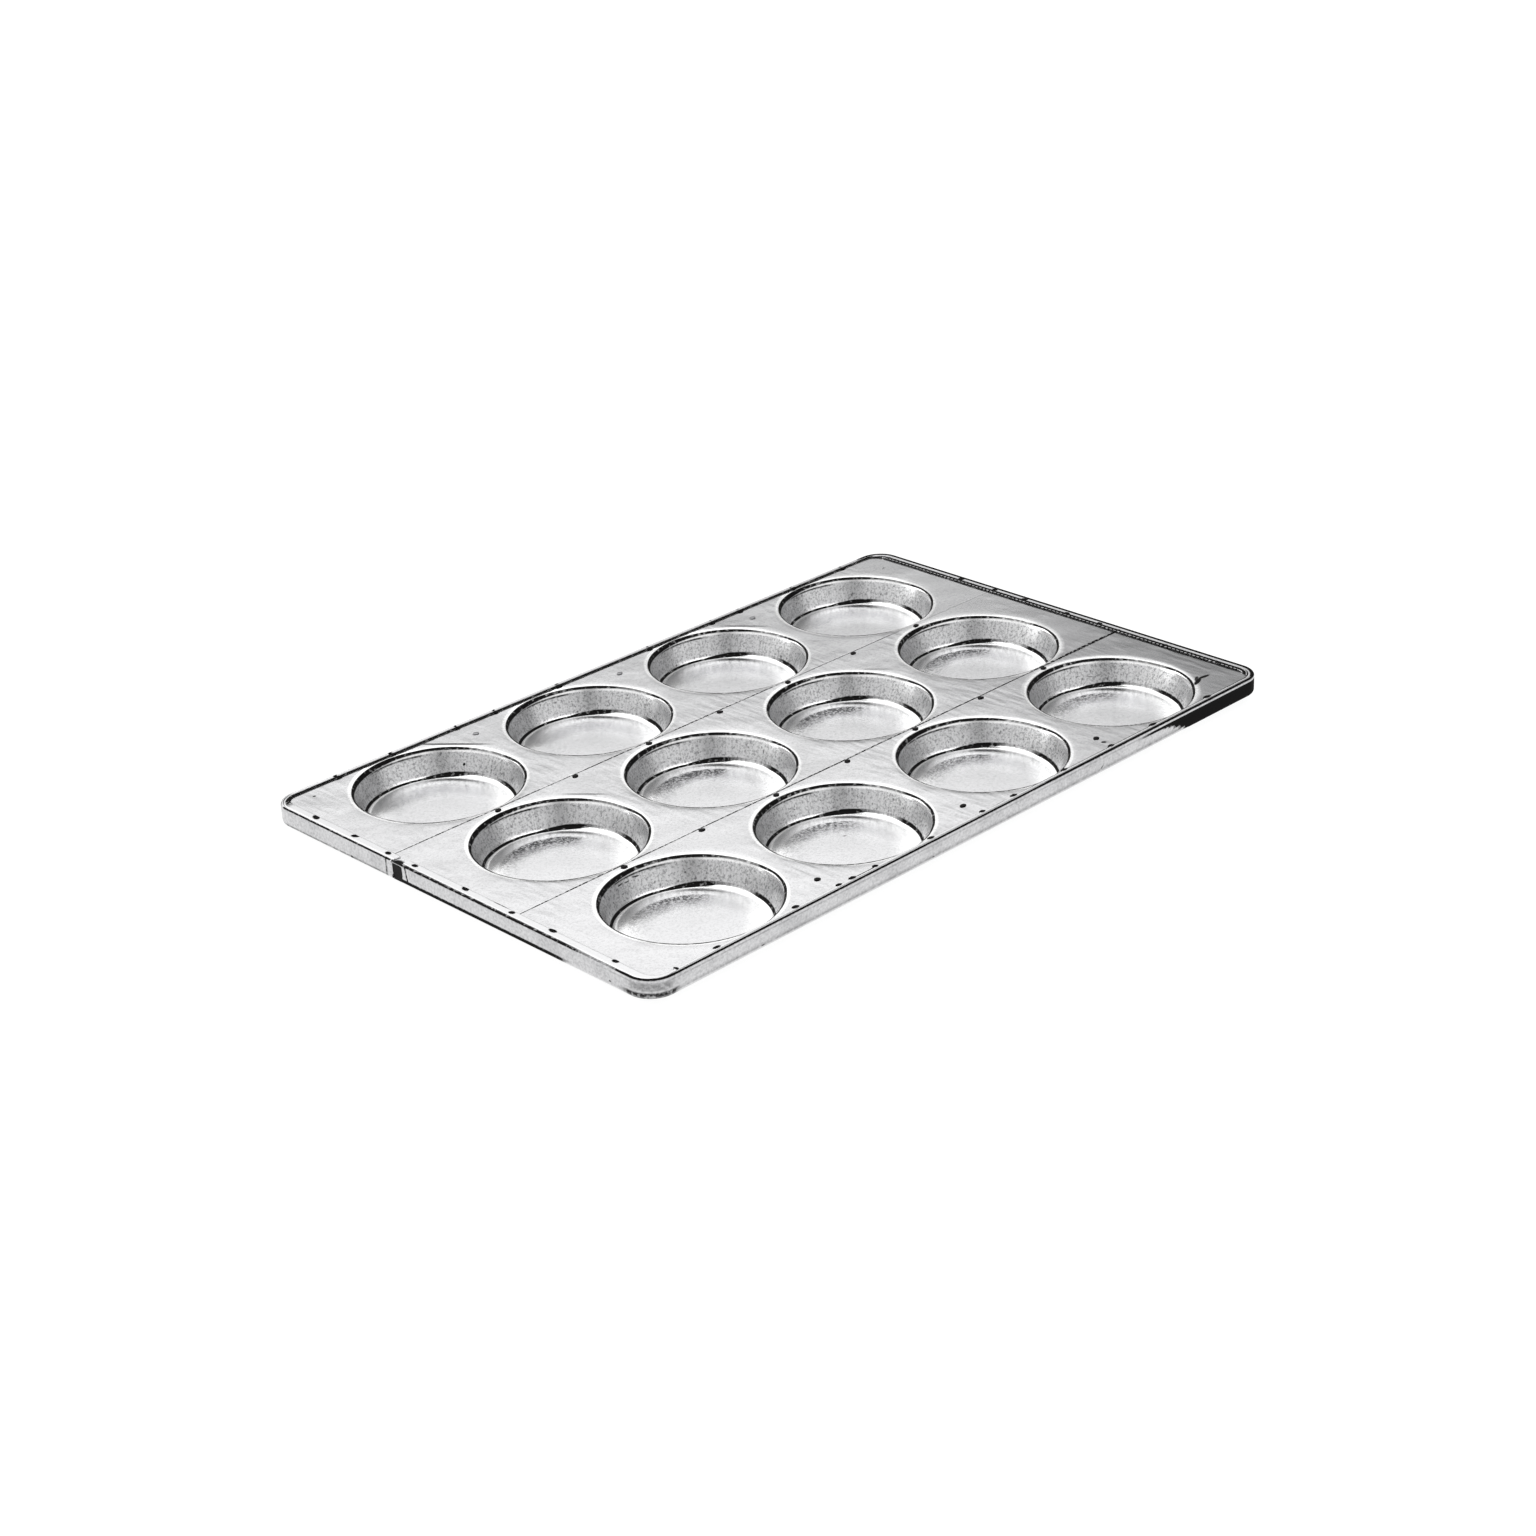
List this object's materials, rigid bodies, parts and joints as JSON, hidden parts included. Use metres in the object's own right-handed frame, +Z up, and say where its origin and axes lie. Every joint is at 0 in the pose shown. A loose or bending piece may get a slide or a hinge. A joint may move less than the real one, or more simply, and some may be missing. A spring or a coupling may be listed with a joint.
{
  "type": "bun pan",
  "caption": "Rectangular tinned-steel baking pan for round buns: shallow flared cups in lapped strips, held in a wired rim band and braced underneath.",
  "frame": {"origin": "on the surface the pan stands on, under the centre of its outline", "axes": "+X along the length, +Y across towards the rear strip, +Z up out of the cups"},
  "size_m": [0.6604, 0.4226, 0.0243],
  "materials": {
    "strip_metal": "bright tinned sheet, satin, with faint draw lines in the cup walls",
    "rim_metal": "satin, slightly mottled",
    "wire_metal": "plain drawn wire",
    "strap_metal": "satin",
    "rivet_metal": "darkened steel heads"
  },
  "bodies": {
    "root": {"cup_strip_rear": "strip_metal", "cup_strip_middle": "strip_metal", "cup_strip_front": "strip_metal", "rim_band": "rim_metal", "rim_wire": "wire_metal", "splice_plate": "rim_metal", "cross_strap_1": "strap_metal", "cross_strap_2": "strap_metal", "cross_strap_3": "strap_metal", "seam_rivet_rear_1": "rivet_metal", "seam_rivet_rear_2": "rivet_metal", "seam_rivet_rear_3": "rivet_metal", "seam_rivet_rear_4": "rivet_metal", "seam_rivet_front_1": "rivet_metal", "seam_rivet_front_2": "rivet_metal", "seam_rivet_front_3": "rivet_metal", "seam_rivet_front_4": "rivet_metal", "strap_rivet_1_1": "rivet_metal", "strap_rivet_1_2": "rivet_metal", "strap_rivet_1_3": "rivet_metal", "strap_rivet_1_4": "rivet_metal", "strap_rivet_2_1": "rivet_metal", "strap_rivet_2_2": "rivet_metal", "strap_rivet_2_3": "rivet_metal", "strap_rivet_2_4": "rivet_metal", "strap_rivet_3_1": "rivet_metal", "strap_rivet_3_2": "rivet_metal", "strap_rivet_3_3": "rivet_metal", "strap_rivet_3_4": "rivet_metal"}
  },
  "joints": []
}
